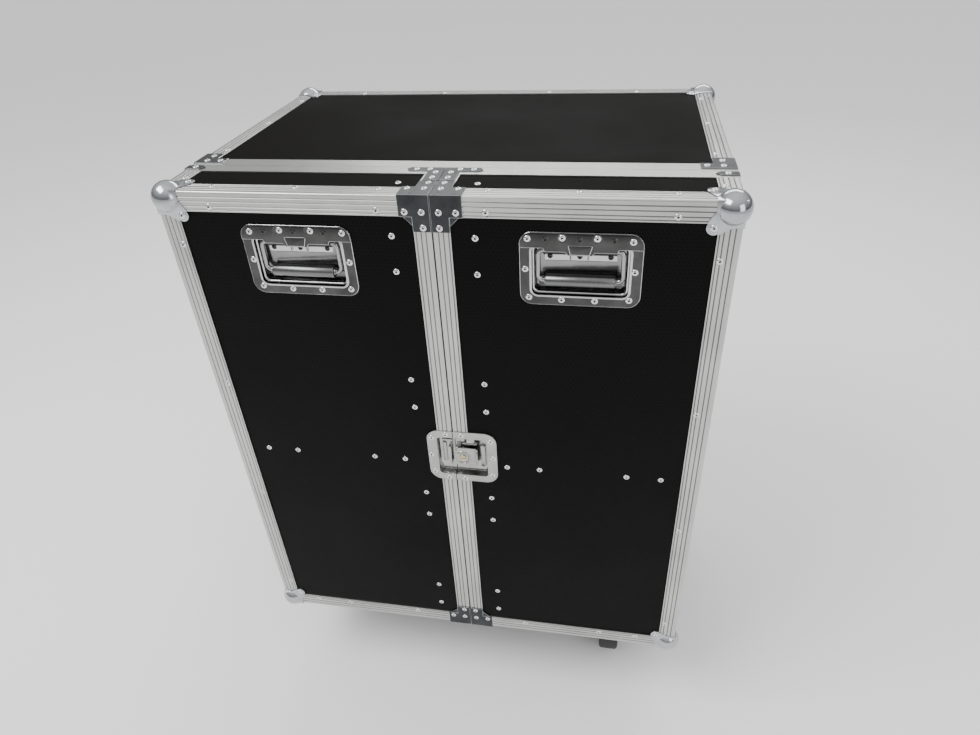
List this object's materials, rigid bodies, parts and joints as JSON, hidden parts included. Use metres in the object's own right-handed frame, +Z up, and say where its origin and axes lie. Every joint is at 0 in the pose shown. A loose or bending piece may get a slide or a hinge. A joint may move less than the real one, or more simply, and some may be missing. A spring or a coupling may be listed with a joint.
{
  "type": "equipment rack case",
  "caption": "Upright flight case on casters: shallow front doors with a recessed twist latch and drop handles, aluminium edges, ball corners and an inner 19-inch equipment rack.",
  "frame": {"origin": "on the floor under the middle of the case", "axes": "+X to the right seen from the doors, +Y backwards, +Z up"},
  "size_m": [0.804, 0.5698, 1.064],
  "materials": {
    "laminate": "plywood faced with black phenolic laminate, fine honeycomb texture",
    "inner_board": "plywood with a plain dark laminate",
    "edge_aluminium": "extruded, satin, with fine grooves",
    "corner_steel": "pressed steel, bright zinc",
    "brace_steel": "pressed steel, dark zinc",
    "rivet_steel": "bright zinc rivet heads",
    "handle_steel": "pressed steel, zinc plated",
    "bail_steel": "bent rod with a grey tubular grip",
    "latch_steel": "pressed steel, zinc plated",
    "hinge_steel": "zinc plated",
    "rack_steel": "black powder coated steel angle",
    "screw_steel": "black zinc screws and bolts",
    "caster_steel": "zinc plated",
    "wheel": "solid rubber tyre on a nylon core",
    "pedal_steel": "dark red painted lever"
  },
  "bodies": {
    "case_body": {"body_back_panel": "laminate", "body_ball_corners": "corner_steel", "body_bottom_panel": "laminate", "body_edge_angles": "edge_aluminium", "body_hinge_leaves": "hinge_steel", "body_left_panel": "laminate", "body_right_panel": "laminate", "body_rim_braces": "brace_steel", "body_rim_profile": "edge_aluminium", "body_rivets": "rivet_steel", "body_top_panel": "laminate", "caster_bolts": "screw_steel", "caster_plates": "caster_steel", "hinge_pins": "hinge_steel", "rack_partitions": "inner_board", "rack_strip_screws": "screw_steel", "rack_strips": "rack_steel", "side_handle_mounts": "handle_steel"},
    "left_door": {"left_door_ball_corners": "corner_steel", "left_door_braces": "brace_steel", "left_door_edge_angles": "edge_aluminium", "left_door_edge_boards": "laminate", "left_door_front_panel": "laminate", "left_door_handle_mount": "handle_steel", "left_door_hinge_leaves": "hinge_steel", "left_door_rim_profile": "edge_aluminium", "left_door_rivets": "rivet_steel", "left_door_shelf_brackets": "screw_steel", "left_door_shelving": "inner_board", "latch_keeper": "latch_steel"},
    "right_door": {"right_door_ball_corners": "corner_steel", "right_door_braces": "brace_steel", "right_door_edge_angles": "edge_aluminium", "right_door_edge_boards": "laminate", "right_door_front_panel": "laminate", "right_door_handle_mount": "handle_steel", "right_door_hinge_leaves": "hinge_steel", "right_door_rim_profile": "edge_aluminium", "right_door_rivets": "rivet_steel", "right_door_shelf_brackets": "screw_steel", "right_door_shelving": "inner_board", "latch_dish": "latch_steel"},
    "latch_rotor": {"latch_rotor": "latch_steel"},
    "latch_wing": {"latch_wing": "latch_steel"},
    "latch_hook": {"latch_hook": "latch_steel"},
    "left_door_handle": {"left_door_handle_bail": "bail_steel"},
    "left_side_handle": {"left_side_handle_bail": "bail_steel"},
    "right_door_handle": {"right_door_handle_bail": "bail_steel"},
    "right_side_handle": {"right_side_handle_bail": "bail_steel"},
    "fork_front_left": {"caster_fork_front_left": "caster_steel"},
    "wheel_front_left": {"caster_wheel_front_left": "wheel"},
    "fork_front_right": {"caster_fork_front_right": "caster_steel"},
    "wheel_front_right": {"caster_wheel_front_right": "wheel"},
    "fork_rear_left": {"caster_fork_rear_left": "caster_steel"},
    "wheel_rear_left": {"caster_wheel_rear_left": "wheel"},
    "pedal_rear_left": {"brake_pedal_rear_left": "pedal_steel"},
    "fork_rear_right": {"caster_fork_rear_right": "caster_steel"},
    "wheel_rear_right": {"caster_wheel_rear_right": "wheel"},
    "pedal_rear_right": {"brake_pedal_rear_right": "pedal_steel"}
  },
  "joints": [
    {"name": "right_door_hinge", "type": "hinge", "parent": "case_body", "child": "right_door", "pos_m": [0.3965, -0.167, 0.611], "axis": [0, 0, 1], "range_deg": [0, 175]},
    {"name": "left_door_hinge", "type": "hinge", "parent": "case_body", "child": "left_door", "pos_m": [-0.3965, -0.167, 0.611], "axis": [0, 0, -1], "range_deg": [0, 175]},
    {"name": "right_door_handle_lift", "type": "hinge", "parent": "right_door", "child": "right_door_handle", "pos_m": [0.195, -0.268, 0.981], "axis": [-1, 0, 0], "range_deg": [0, 95], "stiffness_Nm_per_rad": 0.3},
    {"name": "right_side_handle_lift", "type": "hinge", "parent": "case_body", "child": "right_side_handle", "pos_m": [0.383, 0.05415, 0.981], "axis": [0, -1, 0], "range_deg": [0, 95], "stiffness_Nm_per_rad": 0.3},
    {"name": "left_door_handle_lift", "type": "hinge", "parent": "left_door", "child": "left_door_handle", "pos_m": [-0.195, -0.268, 0.981], "axis": [-1, 0, 0], "range_deg": [0, 95], "stiffness_Nm_per_rad": 0.3},
    {"name": "left_side_handle_lift", "type": "hinge", "parent": "case_body", "child": "left_side_handle", "pos_m": [-0.383, 0.05415, 0.981], "axis": [0, 1, 0], "range_deg": [0, 95], "stiffness_Nm_per_rad": 0.3},
    {"name": "latch_turn", "type": "hinge", "parent": "right_door", "child": "latch_rotor", "pos_m": [0.0135, -0.27, 0.609], "axis": [0, -1, 0], "range_deg": [0, 90]},
    {"name": "latch_hook_slide", "type": "slide", "parent": "right_door", "child": "latch_hook", "axis": [-1, 0, 0], "range_m": [0, 0.0127]},
    {"name": "latch_wing_fold", "type": "hinge", "parent": "latch_rotor", "child": "latch_wing", "pos_m": [0.0034, -0.2728, 0.609], "axis": [0, 0, -1], "range_deg": [0, 100]},
    {"name": "swivel_front_left", "type": "hinge", "parent": "case_body", "child": "fork_front_left", "pos_m": [-0.272, -0.0965, 0.143], "axis": [0, 0, 1], "continuous": true},
    {"name": "spin_front_left", "type": "hinge", "parent": "fork_front_left", "child": "wheel_front_left", "pos_m": [-0.272, -0.0465, 0.0625], "axis": [1, 0, 0], "continuous": true},
    {"name": "swivel_front_right", "type": "hinge", "parent": "case_body", "child": "fork_front_right", "pos_m": [0.272, -0.0965, 0.143], "axis": [0, 0, 1], "continuous": true},
    {"name": "spin_front_right", "type": "hinge", "parent": "fork_front_right", "child": "wheel_front_right", "pos_m": [0.272, -0.1465, 0.0625], "axis": [1, 0, 0], "continuous": true},
    {"name": "swivel_rear_left", "type": "hinge", "parent": "case_body", "child": "fork_rear_left", "pos_m": [-0.272, 0.193, 0.143], "axis": [0, 0, 1], "continuous": true},
    {"name": "spin_rear_left", "type": "hinge", "parent": "fork_rear_left", "child": "wheel_rear_left", "pos_m": [-0.272, 0.143, 0.0625], "axis": [1, 0, 0], "continuous": true},
    {"name": "brake_rear_left", "type": "hinge", "parent": "fork_rear_left", "child": "pedal_rear_left", "pos_m": [-0.272, 0.121, 0.131], "axis": [-1, 0, 0], "range_deg": [0, 18]},
    {"name": "swivel_rear_right", "type": "hinge", "parent": "case_body", "child": "fork_rear_right", "pos_m": [0.272, 0.193, 0.143], "axis": [0, 0, 1], "continuous": true},
    {"name": "spin_rear_right", "type": "hinge", "parent": "fork_rear_right", "child": "wheel_rear_right", "pos_m": [0.272, 0.143, 0.0625], "axis": [1, 0, 0], "continuous": true},
    {"name": "brake_rear_right", "type": "hinge", "parent": "fork_rear_right", "child": "pedal_rear_right", "pos_m": [0.272, 0.121, 0.131], "axis": [-1, 0, 0], "range_deg": [0, 18]}
  ],
  "couplings": [
    {"joint": "latch_hook_slide", "follows": "latch_turn", "m_per_rad": 0.008085}
  ]
}
